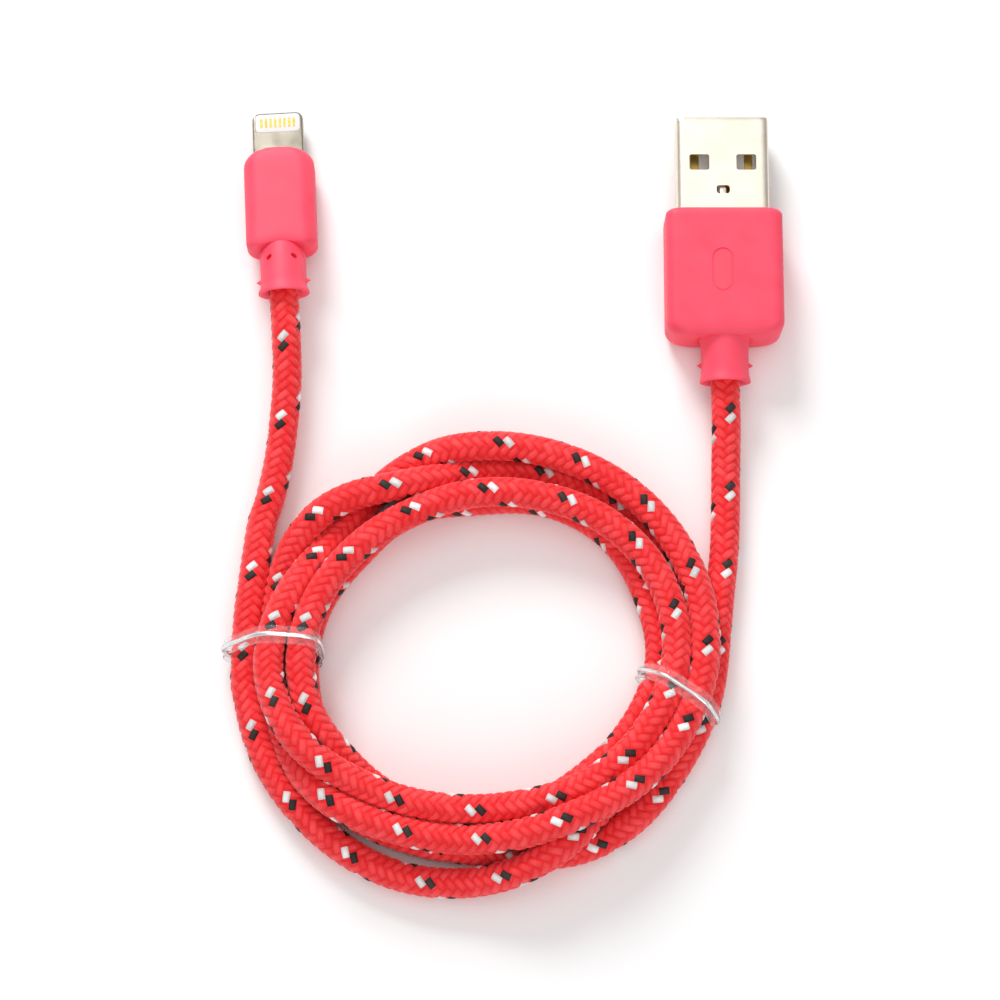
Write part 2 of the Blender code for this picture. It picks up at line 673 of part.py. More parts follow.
def make_materials():
    return {
        "nickel": new_material("nickel", (0.80, 0.78, 0.73), 0.35, 1.0),
        "gold": new_material("gold", (0.95, 0.70, 0.30), 0.25, 1.0),
        "housing_plastic": new_material("housing_plastic", (0.95, 0.10, 0.18), 0.5),
        "white_plastic": new_material("white_plastic", (0.90, 0.90, 0.90), 0.4),
        "tongue_plastic": new_material("tongue_plastic", (0.85, 0.84, 0.80), 0.5),
        "mould_plastic": new_material("mould_plastic", (0.80, 0.80, 0.76), 0.6),
        "board": new_material("board", (0.05, 0.30, 0.12), 0.5),
        "chip": new_material("chip", (0.03, 0.03, 0.03), 0.6),
        "braid": new_material("braid", (0.85, 0.05, 0.06), 0.7),
        "clear_sleeve": new_material("clear_sleeve", (0.95, 0.95, 0.95), 0.1),
        "tie_wire": new_material("tie_wire", (0.60, 0.60, 0.60), 0.3, 1.0),
    }


def main():
    clear_scene()
    builder = Builder()
    materials = make_materials()
    wire_materials = {
        colour: new_material(f"insulation_{colour}", rgb, 0.5) for colour, rgb in WIRE_COLOURS.items()
    }
    charger_frame = add_charger_plug(builder, materials, wire_materials)
    phone_frame = add_phone_plug(builder, materials, wire_materials)
    add_cord(builder, phone_frame, charger_frame, materials["braid"])
    for name, (centre, turn, span) in TIES.items():
        add_tie(builder, name, centre, turn, span, materials["clear_sleeve"], materials["tie_wire"])
    bpy.context.view_layer.update()


main()
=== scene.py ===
"""The looks of the coiled, braided charging cable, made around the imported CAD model."""
import math

import bmesh
import bpy
import numpy as np
from mathutils import Euler, Matrix, Vector


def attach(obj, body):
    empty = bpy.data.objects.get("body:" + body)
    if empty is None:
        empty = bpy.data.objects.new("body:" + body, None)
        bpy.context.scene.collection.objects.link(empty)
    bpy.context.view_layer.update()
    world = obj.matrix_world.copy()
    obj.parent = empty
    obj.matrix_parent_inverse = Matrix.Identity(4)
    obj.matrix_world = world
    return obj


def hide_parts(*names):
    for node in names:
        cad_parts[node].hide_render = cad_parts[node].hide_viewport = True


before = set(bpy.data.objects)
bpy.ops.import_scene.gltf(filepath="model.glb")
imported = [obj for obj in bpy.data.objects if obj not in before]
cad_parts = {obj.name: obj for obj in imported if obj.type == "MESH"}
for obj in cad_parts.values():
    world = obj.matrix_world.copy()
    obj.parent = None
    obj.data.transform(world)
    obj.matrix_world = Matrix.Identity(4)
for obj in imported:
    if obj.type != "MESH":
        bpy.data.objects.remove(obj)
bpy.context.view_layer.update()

MM = 0.001

# The cord, in millimetres
CORD_RADIUS = 1.9
PHONE_MOUTH = (-29.26, -7.56, 5.29)
CHARGER_MOUTH = (27.5, -18.65, 4.0)
CORD_INSET = 1.6
PHONE_LEAD_ROUTE = (
    (-28.95, -12.5, 5.15), (-28.8, -18.0, 4.3), (-29.15, -23.0, 3.4),
    (-29.8, -28.5, 2.6), (-30.8, -33.5, 2.1), (-31.9, -38.3, 1.95),
)
CHARGER_LEAD_ROUTE = (
    (27.6, -24.0, 3.4), (27.5, -29.0, 2.5), (27.35, -34.5, 2.1),
    (27.0, -40.0, 1.95), (26.3, -44.7, 1.95),
)
COIL_CENTRE = (-4.6, -55.05)
COIL_START_DEGREES = 180.0
STATION_DEGREES = 22.5
# One row a turn, from the left, counterclockwise: how far out and how high the cord's middle lies
TURN_RADII = (
    (28.5, 28.2, 28.1, 27.9, 26.9, 25.4, 23.6, 24.8, 26.7, 27.6, 27.7, 26.5, 24.9, 24.8, 27.2, 26.5),
    (25.0, 24.6, 23.9, 22.5, 22.2, 23.0, 24.4, 26.6, 28.8, 29.7, 29.5, 28.6, 27.3, 26.1, 24.3, 25.1),
    (25.9, 24.2, 20.9, 19.0, 18.3, 18.9, 21.0, 23.3, 25.4, 25.8, 24.8, 23.1, 21.9, 21.0, 21.0, 21.5),
    (22.1, 22.0, 20.6, 19.6, 19.4, 19.4, 19.9, 21.8, 24.0, 24.0, 24.2, 23.3, 21.7, 22.0, 21.2, 21.6),
    (21.7, 21.9, 24.0, 23.2, 23.0, 24.9, 26.9, 27.8, 29.3),
)
TURN_HEIGHTS = (
    (1.9, 1.9, 1.9, 1.9, 2.6, 5.2, 2.6, 2.4, 2.2, 1.9, 1.9, 1.9, 2.6, 5.2, 4.2, 1.9),
    (1.9, 1.9, 5.0, 5.2, 5.2, 6.4, 6.2, 5.4, 5.4, 5.0, 4.7, 4.6, 4.6, 2.2, 1.9, 4.4),
    (5.4, 7.0, 5.2, 5.2, 5.2, 5.2, 5.2, 5.2, 5.3, 5.2, 5.2, 5.2, 5.2, 5.2, 5.2, 5.2),
    (5.2, 4.6, 1.9, 1.9, 1.9, 1.9, 1.9, 1.9, 1.9, 1.9, 1.9, 1.9, 1.9, 1.9, 1.9, 1.9),
    (1.9, 1.9, 1.9, 1.9, 1.9, 1.9, 1.9, 1.9, 1.9),
)
CONTACT_DISTANCE = 3.5
SETTLE_STEP = 1.5
SETTLE_ROUNDS = 120
SETTLE_SHARE = 0.9
HELD_POINTS = 5
STEPS_BETWEEN_STATIONS = 3
PATH_STEP = 0.4

# The braid: sixteen yarns, eight each way, each passing over two and under two
BRAID_PITCH = 10.1
CARRIERS = 16
VALLEY_RADIUS = 1.74
YARN_CROWN = 0.21
# How strongly the yarn's colour is darkened in the valleys between floats and lightened on their crowns:
# painted shade and a painted highlight
CROWN_PAINTED_SHADE = 0.5
CELL_STEPS = (0.0, 0.28, 0.72)
WHITE_YARN = 1
BLACK_YARN = 0
YARN_SEED = 7
SHADE_RANGE = (-0.08, 0.32)
# The crown height at which the painted shade and highlight are nil
MIDDLE_CROWN = 0.7
# A float's number is made from its two yarns' numbers, with one pair of factors for each way round
FIRST_FLOAT_FACTORS = (7919, 104729)
SECOND_FLOAT_FACTORS = (6101, 99991)
YARN_SPACING = 0.98
SECOND_WAY_OFFSET = 100

# The plugs' frames, in millimetres: the middle of each housing's front face, with +Y to its tip
CHARGER_FRONT = (27.5, 4.05, 4.0)
PHONE_FRONT = (-30.45, 12.45, 2.83)
PHONE_TURN = (math.radians(-7.0), 0.0, math.radians(3.4))
LEVEL = (0.0, 0.0, 0.0)

# The charger plug, in millimetres. A size is a width, a length and a height
CHARGER_HOUSING_SIZE = (15.1, 17.0, 8.0)
CHARGER_HOUSING_CORNER = 1.5
CHARGER_COLLAR_LENGTH = 5.6
CHARGER_FLASH_PLACE = (3.05, -20.3)
MARK_CENTRE = (-0.35, -8.5)
RECESS_PILL = (5.8, 2.7)
RECESS_HEIGHTS = (4.5, 3.86)
INLAY_PILL = (5.3, 2.2)
INLAY_HEIGHTS = (3.93, 3.5)
SHELL_WIDTH = 12.0
SHELL_HEIGHT = 4.5
SHELL_EXPOSED = 12.6
SHELL_BURIED = 5.9
SHELL_WALL = 0.32
SHELL_CORNER = 0.62
SHELL_LIP_LENGTH = 0.14
SHELL_ROWS = 40
WINDOW_SIZE = (2.58, 2.1)
WINDOW_CORNER = 0.3
WINDOW_SIDE = 3.05
WINDOW_TO_TIP = 6.15
CUT_HEIGHT = 3.0
LATCH_HOLE_SIZE = (1.7, 1.1)
LATCH_HOLE_CORNER = 0.35
LATCH_HOLE_TO_TIP = 9.85
LATCH_TAB_SIZE = (0.8, 0.95)
LATCH_TAB_ROOT_TO_TIP = 10.35
LATCH_TAB_BEND = -0.35

# The phone plug, in millimetres
PHONE_HOUSING_SIZE = (9.2, 13.8, 5.7)
PHONE_HOUSING_CORNER = 1.9
PHONE_COLLAR_LENGTH = 5.9
PHONE_FLASH_SIDE = 2.95
PHONE_FLASH_BACK = 4.1
PHONE_FRONT_BULGE = 0.12
SCOOP_DEPTH = 0.5
SCOOP_HALF_WIDTH = 3.0
PIN_HOLE_PILL = (0.9, 0.6)
PIN_HOLE_HEIGHTS = (1.5, -0.3)
PIN_HOLE_PLACE = (1.45, 1.6, 2.2)
PIN_HOLE_LEAN = math.radians(30)
PIN_HOLE_TURN = math.radians(60)
TAB_WIDTH = 6.7
TAB_HALF_THICKNESS = 0.75
TAB_EXPOSED = 6.0
TAB_BURIED = 2.9
TAB_CORNER = 1.0
TAB_EDGE = 0.28
INSERT_TO_TIP = 1.5
INSERT_HOLE_SIZE = (5.98, 2.68)
INSERT_HOLE_CORNER = 0.62
INSERT_SIZE = (5.9, 2.6)
INSERT_CORNER = 0.58
INSERT_EDGE = 0.06

# The wire ties: the middle and the turn in plan
TIES = {
    "tie_left": ((-29.5, -51.75), math.radians(-4.0)),
    "tie_right": ((20.0, -57.45), math.radians(-34.0)),
}
# How far each band stands clear at its outer end, and how far it leans for each millimetre down
TIE_SLACK = {"tie_left": 0.75, "tie_right": 0.2}
TIE_LEAN = {"tie_left": 0.29, "tie_right": 0.10}
TIE_LIFT = 0.75
TIE_LIFT_REACH = 4.0
TIE_LIFT_HALF_LENGTH = 9


def srgb(red, green, blue):
    """A linear colour from the usual 0 to 255 numbers."""
    def linear(value):
        value /= 255
        return value / 12.92 if value <= 0.04045 else ((value + 0.055) / 1.055) ** 2.4
    return (linear(red), linear(green), linear(blue), 1.0)


# ---------------------------------------------------------------- materials

class Nodes:
    """Short calls for a material's nodes."""

    def __init__(self, name, roughness, metallic=0.0, specular=0.5):
        self.material = bpy.data.materials.new(name)
        self.material.use_nodes = True
        self.tree = self.material.node_tree
        self.shader = self.tree.nodes["Principled BSDF"]
        self.shader.inputs["Roughness"].default_value = roughness
        self.shader.inputs["Metallic"].default_value = metallic
        self.shader.inputs["Specular IOR Level"].default_value = specular

    def add(self, kind, **values):
        node = self.tree.nodes.new(kind)
        for name, value in values.items():
            if hasattr(node, name):
                setattr(node, name, value)
            else:
                node.inputs[name.replace("_", " ")].default_value = value
        return node

    def link(self, source, target):
        self.tree.links.new(source, target)

    def noise(self, vector, scale, detail=4.0):
        node = self.add("ShaderNodeTexNoise", Scale=scale, Detail=detail)
        self.link(vector, node.inputs["Vector"])
        return node.outputs["Fac"]

    def ramp(self, value, stops):
        node = self.add("ShaderNodeValToRGB")
        elements = node.color_ramp.elements
        while len(elements) < len(stops):
            elements.new(0.5)
        for element, (place, colour) in zip(elements, stops):
            element.position = place
            element.color = colour
        self.link(value, node.inputs["Fac"])
        return node.outputs["Color"]

    def bump(self, height, strength, distance):
        node = self.add("ShaderNodeBump", Strength=strength, Distance=distance)
        self.link(height, node.inputs["Height"])
        self.link(node.outputs["Normal"], self.shader.inputs["Normal"])

    def vary(self, value, low, high):
        """Maps a 0 to 1 value onto the shader's roughness."""
        node = self.add("ShaderNodeMapRange")
        node.inputs["To Min"].default_value = low
        node.inputs["To Max"].default_value = high
        self.link(value, node.inputs["Value"])
        self.link(node.outputs["Result"], self.shader.inputs["Roughness"])

    def coordinates(self):
        return self.add("ShaderNodeTexCoord").outputs["Object"]


PLASTIC_GRAIN = 7200.0
PLASTIC_BUMP = 0.15
YARN_STRETCH = (9.0, 0.7, 1.0)


def plastic(name, dark, light, roughness):
    """A moulded plastic with a faint cloudiness and a fine sparked grain."""
    nodes = Nodes(name, roughness)
    place = nodes.coordinates()
    cloud = nodes.noise(place, 260.0)
    nodes.link(nodes.ramp(cloud, ((0.3, dark), (0.7, light))), nodes.shader.inputs["Base Color"])
    fine = nodes.noise(place, PLASTIC_GRAIN, 2.0)
    nodes.bump(fine, PLASTIC_BUMP, 0.00002)
    nodes.vary(cloud, roughness - 0.05, roughness + 0.08)
    return nodes.material


def metal(name, dark, light, roughness, grain, bump):
    """A plated metal, with a fine blasted grain and a faint uneven tarnish."""
    nodes = Nodes(name, roughness, metallic=1.0)
    place = nodes.coordinates()
    cloud = nodes.noise(place, 400.0)
    nodes.link(nodes.ramp(cloud, ((0.3, dark), (0.7, light))), nodes.shader.inputs["Base Color"])
    fine = nodes.noise(place, grain, 3.0)
    nodes.bump(fine, bump, 0.00003)
    nodes.vary(fine, roughness - 0.08, roughness + 0.1)
    return nodes.material


def yarn(name, dark, light, sheen):
    """A flat multifilament yarn. The mesh's UVs run across and along it, in millimetres."""
    nodes = Nodes(name, 0.62, specular=0.35)
    place = nodes.add("ShaderNodeUVMap", uv_map="yarn").outputs["UV"]
    mapping = nodes.add("ShaderNodeMapping")
    mapping.inputs["Scale"].default_value = YARN_STRETCH
    nodes.link(place, mapping.inputs["Vector"])
    filaments = nodes.noise(mapping.outputs["Vector"], 1.6, 3.0)
    # A per-corner attribute: each float's random tone plus painted shade in the valleys between floats and
    # a painted highlight on their crowns
    shade = nodes.add("ShaderNodeAttribute", attribute_name="shade").outputs["Fac"]
    total = nodes.add("ShaderNodeMath", operation="MULTIPLY_ADD")
    nodes.link(filaments, total.inputs[0])
    total.inputs[1].default_value = 0.75
    nodes.link(shade, total.inputs[2])
    colour = nodes.ramp(total.outputs["Value"], ((0.2, dark), (0.8, light)))
    nodes.link(colour, nodes.shader.inputs["Base Color"])
    nodes.bump(filaments, 0.7, 0.00006)
    nodes.shader.inputs["Sheen Weight"].default_value = sheen
    nodes.shader.inputs["Sheen Roughness"].default_value = 0.5
    return nodes.material


def clear_plastic(name):
    """A clear, glossy sleeve. Its low index keeps the edges from going dark."""
    nodes = Nodes(name, 0.05)
    nodes.shader.inputs["Transmission Weight"].default_value = 0.95
    nodes.shader.inputs["IOR"].default_value = 1.2
    place = nodes.coordinates()
    stops = ((0.3, srgb(238, 240, 242)), (0.7, srgb(255, 255, 255)))
    colour = nodes.ramp(nodes.noise(place, 900.0), stops)
    nodes.link(colour, nodes.shader.inputs["Base Color"])
    return nodes.material


def floor_material():
    """A matt, almost white floor."""
    nodes = Nodes("pale_floor", 0.9, specular=0.0)
    place = nodes.coordinates()
    stops = ((0.3, srgb(248, 248, 248)), (0.7, srgb(252, 252, 252)))
    colour = nodes.ramp(nodes.noise(place, 40.0), stops)
    nodes.link(colour, nodes.shader.inputs["Base Color"])
    return nodes.material


MATERIALS = {
    "housing": plastic("coral_plastic", srgb(246, 68, 94), srgb(252, 78, 104), 0.55),
    "collar": plastic("coral_relief", srgb(246, 70, 94), srgb(252, 80, 104), 0.55),
    "white": plastic("white_plastic", srgb(222, 222, 222), srgb(230, 230, 229), 0.45),
    "tongue": plastic("tongue_plastic", srgb(232, 232, 228), srgb(242, 242, 238), 0.45),
    "mould": plastic("inner_mould", srgb(214, 206, 190), srgb(226, 218, 204), 0.5),
    "board": plastic("green_board", srgb(24, 92, 52), srgb(34, 108, 62), 0.4),
    "chip": plastic("chip_resin", srgb(24, 24, 26), srgb(34, 34, 36), 0.5),
    "nickel": metal("satin_nickel", srgb(232, 222, 206), srgb(242, 233, 219), 0.30, 5000.0, 0.35),
    "blasted": metal("blasted_nickel", srgb(166, 158, 143), srgb(196, 188, 172), 0.20, 9000.0, 0.25),
    "gold": metal("gold_plate", srgb(226, 176, 84), srgb(240, 196, 108), 0.22, 3000.0, 0.15),
    "braid": yarn("coral_yarn", srgb(234, 14, 24), srgb(255, 72, 76), 0.25),
    "braid_white": yarn("white_yarn", srgb(196, 192, 190), srgb(250, 250, 250), 0.1),
    "braid_black": yarn("black_yarn", srgb(14, 10, 8), srgb(58, 48, 44), 0.05),
    "clear": clear_plastic("clear_sleeve_plastic"),
    "tie_wire": metal("tie_wire_steel", srgb(240, 240, 240), srgb(254, 254, 254), 0.22, 4000.0, 0.2),
    # The charger's contacts: a brass colour darkened to paint the shade that falls on them inside the shell
    "brass": metal("worn_brass", srgb(150, 122, 60), srgb(186, 154, 84), 0.32, 3000.0, 0.2),
}
INSULATION = {
    "red": (srgb(190, 22, 24), srgb(206, 32, 34)),
    "white": (srgb(228, 228, 224), srgb(240, 240, 236)),
    "green": (srgb(20, 120, 56), srgb(30, 136, 66)),
    "black": (srgb(18, 18, 18), srgb(28, 28, 28)),
}
for wire_name, (wire_dark, wire_light) in INSULATION.items():
    MATERIALS["insulation_" + wire_name] = plastic("insulation_" + wire_name, wire_dark, wire_light, 0.4)


# ---------------------------------------------------------------- camera, light and floor

CAMERA_AIM = Vector((-1.45, -33.05, 0.0)) * MM
CAMERA_DISTANCE = 350 * MM
CAMERA_TILT = math.radians(11.5)
CAMERA_LENS = 97.7
ROOM_STRENGTH = 0.48
FLOOR_HALF_SIZE = 1.5
LIGHT_TARGET = (0.0, -0.033, 0.0)
# Where each light stands and how wide it is, in metres, and its power in watts
LIGHTS = {
    "key_light": ((-0.15, 0.42, 0.31), 0.22, 2.3),
    "overhead_light": ((0.0, 0.10, 0.62), 0.56, 0.76),
    "front_light": ((0.05, -0.50, 0.30), 0.50, 0.95),
}


def add_camera():
    data = bpy.data.cameras.new("camera")
    data.lens = CAMERA_LENS
    data.sensor_width = 36.0
    data.clip_start = 0.01
    camera = bpy.data.objects.new("camera", data)
    camera.rotation_euler = (CAMERA_TILT, 0.0, 0.0)
    back = Euler((CAMERA_TILT, 0.0, 0.0)).to_matrix() @ Vector((0.0, 0.0, CAMERA_DISTANCE))
    camera.location = CAMERA_AIM + back
    bpy.context.scene.collection.objects.link(camera)
    bpy.context.scene.camera = camera


def add_area_light(name, location, size, power):
    data = bpy.data.lights.new(name, "AREA")
    data.shape = "DISK"
    data.size = size
    data.energy = power
    light = bpy.data.objects.new(name, data)
    light.location = location
    light.rotation_euler = (Vector(LIGHT_TARGET) - Vector(location)).to_track_quat("-Z", "Y").to_euler()
    bpy.context.scene.collection.objects.link(light)


def add_surroundings():
    """A white room with three soft lights: from behind on the left, from above and from the front."""
    world = bpy.data.worlds.new("white_room")
    world.use_nodes = True
    background = world.node_tree.nodes["Background"]
    background.inputs["Color"].default_value = (1.0, 1.0, 1.0, 1.0)
    background.inputs["Strength"].default_value = ROOM_STRENGTH
    bpy.context.scene.world = world
    for name, (location, size, power) in LIGHTS.items():
        add_area_light(name, location, size, power)
    bpy.context.scene.view_settings.view_transform = "Standard"
    shape = bmesh.new()
    bmesh.ops.create_grid(shape, x_segments=8, y_segments=8, size=FLOOR_HALF_SIZE)
    mesh = bpy.data.meshes.new("floor")
    shape.to_mesh(mesh)
    shape.free()
    floor = bpy.data.objects.new("floor", mesh)
    mesh.materials.append(floor_material())
    bpy.context.scene.collection.objects.link(floor)


# ---------------------------------------------------------------- small mesh helpers

def new_piece(name, mesh, slot, *nodes):
    """Links a new piece, which rides on the one body and stands for CAD nodes."""
    piece = bpy.data.objects.new(name, mesh)
    bpy.context.scene.collection.objects.link(piece)
    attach(piece, "root")
    if nodes:
        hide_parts(*nodes)
    return piece


def numpy_mesh(name, points, quads, materials):
    mesh = bpy.data.meshes.new(name)
    mesh.from_pydata([tuple(p) for p in points], [], [tuple(q) for q in quads])
    for material in materials:
        mesh.materials.append(material)
    return mesh


def plug_matrix(front, turn):
    """From a plug's own frame, in millimetres, to the world, in metres."""
    return Matrix.Translation(Vector(front) * MM) @ Euler(turn).to_matrix().to_4x4() @ Matrix.Scale(MM, 4)


def loft(rings, open_ends=False):
    """A closed body through rings of equal length, with fans at its ends or a bore from end to end."""
    count = len(rings[0])
    points = np.concatenate(rings)
    quads = []
    for row in range(len(rings) if open_ends else len(rings) - 1):
        after = (row + 1) % len(rings)
        for k in range(count):
            beside = (k + 1) % count
            quads.append((row * count + k, row * count + beside, after * count + beside, after * count + k))
    if open_ends:
        return points, quads
    first = len(points)
    points = np.vstack([points, rings[0].mean(axis=0), rings[-1].mean(axis=0)])
    last_row = (len(rings) - 1) * count
    for k in range(count):
        along = (k + 1) % count
        quads.append((first, along, k))
        quads.append((first + 1, last_row + k, last_row + along))
    return points, quads


RING_POINTS = 160
HALVINGS = 40
RING_ANGLES = np.linspace(0, 2 * math.pi, RING_POINTS, endpoint=False)


def rounded_ring(half_width, half_height, corner, y):
    """A rounded rectangle at a station y, with its points at even angles round the middle."""
    direction = np.stack([np.cos(RING_ANGLES), np.sin(RING_ANGLES)], 1)
    near, far = np.zeros(RING_POINTS), np.full(RING_POINTS, 2 * (half_width + half_height))
    inner = np.array([half_width - corner, half_height - corner])
    for _ in range(HALVINGS):
        middle = (near + far) / 2
        excess = np.abs(direction * middle[:, None]) - inner
        outside = np.linalg.norm(np.maximum(excess, 0), axis=1) + np.minimum(excess.max(axis=1), 0) > corner
        near, far = np.where(outside, near, middle), np.where(outside, middle, far)
    flat = direction * near[:, None]
    return np.stack([flat[:, 0], np.full(RING_POINTS, y), flat[:, 1]], 1)


# ---------------------------------------------------------------- the cord's path

def catmull_rom(points, steps):
    """A smooth curve through the points, with some steps from each to the next."""
    points = np.asarray(points, float)
    padded = np.vstack([2 * points[0] - points[1], points, 2 * points[-1] - points[-2]])
    t = np.linspace(0, 1, steps, endpoint=False)[:, None]
    spans = []
    for a, b, c, d in zip(padded, padded[1:], padded[2:], padded[3:]):
        spans.append(b + 0.5 * t * (c - a + t * (2 * a - 5 * b + 4 * c - d + t * (3 * (b - c) + d - a))))
    return np.vstack(spans + [points[-1:]])


def evenly_spaced(points, step):
    """The same curve with points a step apart, and their distances along it."""
    lengths = np.concatenate([[0], np.cumsum(np.linalg.norm(np.diff(points, axis=0), axis=1))])
    places = np.linspace(0, lengths[-1], int(round(lengths[-1] / step)) + 1)
    return np.stack([np.interp(places, lengths, points[:, k]) for k in range(3)], 1), places


def coil_points():
    """The turns, from their stations: radius and height are smoothed, and the angle runs evenly."""
    stations = [pair for row in zip(TURN_RADII, TURN_HEIGHTS) for pair in zip(*row)]
    points = [(radius, height, 0.0) for radius, height in stations]
    smooth = catmull_rom(points, STEPS_BETWEEN_STATIONS)
    step_degrees = STATION_DEGREES / STEPS_BETWEEN_STATIONS
    angles = np.radians(COIL_START_DEGREES + step_degrees * np.arange(len(smooth)))
    x = COIL_CENTRE[0] + smooth[:, 0] * np.cos(angles)
    y = COIL_CENTRE[1] + smooth[:, 0] * np.sin(angles)
    return np.stack([x, y, np.maximum(smooth[:, 1], CORD_RADIUS)], 1)


def lowest_height(points):
    """How low the cord's middle can lie: on the floor, or on a tie that passes under it."""
    floor = np.full(len(points), CORD_RADIUS)
    for (x, y), turn in TIES.values():
        across = -(points[:, 0] - x) * math.sin(turn) + (points[:, 1] - y) * math.cos(turn)
        along = (points[:, 0] - x) * math.cos(turn) + (points[:, 1] - y) * math.sin(turn)
        near = np.clip(1 - (across / TIE_LIFT_REACH) ** 2, 0, 1) ** 2
        floor += TIE_LIFT * near * (np.abs(along) < TIE_LIFT_HALF_LENGTH)
    return floor


def settled(points):
    """Pushes apart the stretches that lie too far into each other, and keeps the cord on its support.

    Where turns are crowded, their middles still end up a little closer than the contact distance.
    """
    start = points.copy()
    order = np.arange(len(points))
    apart = np.abs(order[:, None] - order[None, :]) * SETTLE_STEP > 4 * CONTACT_DISTANCE
    for _ in range(SETTLE_ROUNDS):
        offset = points[:, None, :] - points[None, :, :]
        distance = np.linalg.norm(offset, axis=2)
        touching = apart & (distance < CONTACT_DISTANCE)
        overlap = np.where(touching, (CONTACT_DISTANCE - distance) / np.maximum(distance, 1e-6), 0)
        neighbours = np.maximum(touching.sum(axis=1), 1)[:, None]
        push = (offset * overlap[:, :, None]).sum(axis=1) / 2 / neighbours
        moved = points + SETTLE_SHARE * push - start
        moved[1:-1] = 0.5 * moved[1:-1] + 0.25 * (moved[:-2] + moved[2:])
        moved[:HELD_POINTS] = 0
        moved[-HELD_POINTS:] = 0
        points = start + moved
        points[:, 2] = np.maximum(points[:, 2], lowest_height(points))
    return points


def cord_path():
    """The cord's middle, in millimetres, from inside the phone plug's collar to inside the charger's."""
    phone_axis = np.array(Euler(PHONE_TURN).to_matrix() @ Vector((0.0, 1.0, 0.0)))
    start = np.array(PHONE_MOUTH) + phone_axis * CORD_INSET
    end = np.array(CHARGER_MOUTH) + np.array((0.0, CORD_INSET, 0.0))
    points = np.vstack([start, PHONE_MOUTH, PHONE_LEAD_ROUTE, coil_points(),
                        CHARGER_LEAD_ROUTE[::-1], CHARGER_MOUTH, end])
    coarse, _ = evenly_spaced(catmull_rom(points, 8), SETTLE_STEP)
    return evenly_spaced(catmull_rom(settled(coarse), 6), PATH_STEP)


# ---------------------------------------------------------------- the braid

def moving_frames(points):
    """Two sideways directions at each point, which don't turn about the curve."""
    tangents = np.gradient(points, axis=0)
    tangents /= np.linalg.norm(tangents, axis=1)[:, None]
    normals = np.zeros_like(points)
    normal = np.cross(tangents[0], (0.0, 0.0, 1.0))
    for k, tangent in enumerate(tangents):
        normal = normal - tangent * normal.dot(tangent)
        normal = normal / np.linalg.norm(normal)
        normals[k] = normal
    return normals, np.cross(tangents, normals)


def braid_cells(u, v):
    """The numbers of the two yarns that cross in each cell, and the place in the cell."""
    a = np.floor(u + 0.5 + 1e-6)
    b = np.floor(v + 0.5 + 1e-6)
    return a, b, u - a, v - b


def crown_height(u, v):
    """How far a yarn stands up: most in the middle of its float over two others."""
    a, b, p, q = braid_cells(u, v)
    kind = (a + b) % 4
    first = kind < 2
    along = np.where(first, q, p) + 0.5 + (kind % 2)
    across = np.where(first, p, q) * 2
    return YARN_CROWN * (1 - np.abs(across) ** 2.4) ** 0.7 * np.sin(np.pi * along / 2) ** 0.45


def braid_mesh(points, places):
    """One closed tube whose faces follow both sets of yarns, each crossing in its own cell."""
    steps = len(CELL_STEPS)
    around = CARRIERS // 2 * steps
    row_length = BRAID_PITCH / CARRIERS / steps
    rows = int((places[-1] - 3 * row_length) / row_length)
    row, column = np.meshgrid(np.arange(rows), np.arange(around), indexing="ij")
    fine_u, fine_v = column.ravel(), (column + row).ravel()
    cell = np.array(CELL_STEPS) - 0.5
    u = fine_u // steps + cell[fine_u % steps]
    v = fine_v // steps + cell[fine_v % steps]
    angle = (u + v) * 2 * math.pi / CARRIERS
    place = np.clip((v - u) * BRAID_PITCH / CARRIERS + row_length, 0, places[-1])
    radius = VALLEY_RADIUS + crown_height(u, v)
    normals, binormals = moving_frames(points)

    def at(values):
        return np.stack([np.interp(place, places, values[:, k]) for k in range(3)], 1)

    side = at(normals) * np.cos(angle)[:, None] + at(binormals) * np.sin(angle)[:, None]
    vertices = at(points) + side * radius[:, None]

    # A face's corners, one step along one set of yarns, then along the other
    low = np.arange(1, rows - 1)
    row, column = np.meshgrid(low, np.arange(around), indexing="ij")
    row, column = row.ravel(), column.ravel()
    beside = (column + 1) % around
    quads = np.stack([row * around + column, (row - 1) * around + beside,
                      row * around + beside, (row + 1) * around + column], 1)
    first_end, last_end = len(vertices), len(vertices) + 1
    vertices = np.vstack([vertices, points[0], points[-1]])
    caps = []
    for k in range(around):
        beside = (k + 1) % around
        caps += [(first_end, k, around + k), (first_end, around + k, beside)]
        top, under = (rows - 1) * around, (rows - 2) * around
        caps += [(last_end, top + k, under + beside), (last_end, under + beside, top + beside)]

    mesh = bpy.data.meshes.new("cord_braid")
    corners = np.concatenate([quads.ravel(), np.array(caps).ravel()])
    starts = np.concatenate([np.arange(len(quads)) * 4, len(quads) * 4 + np.arange(len(caps)) * 3])
    mesh.vertices.add(len(vertices))
    mesh.vertices.foreach_set("co", (vertices * MM).ravel())
    mesh.loops.add(len(corners))
    mesh.loops.foreach_set("vertex_index", corners)
    mesh.polygons.add(len(starts))
    mesh.polygons.foreach_set("loop_start", starts)
    mesh.update(calc_edges=True)
    colour_yarns(mesh, column, column + row, len(quads), u, v)
    mesh.validate()
    return mesh


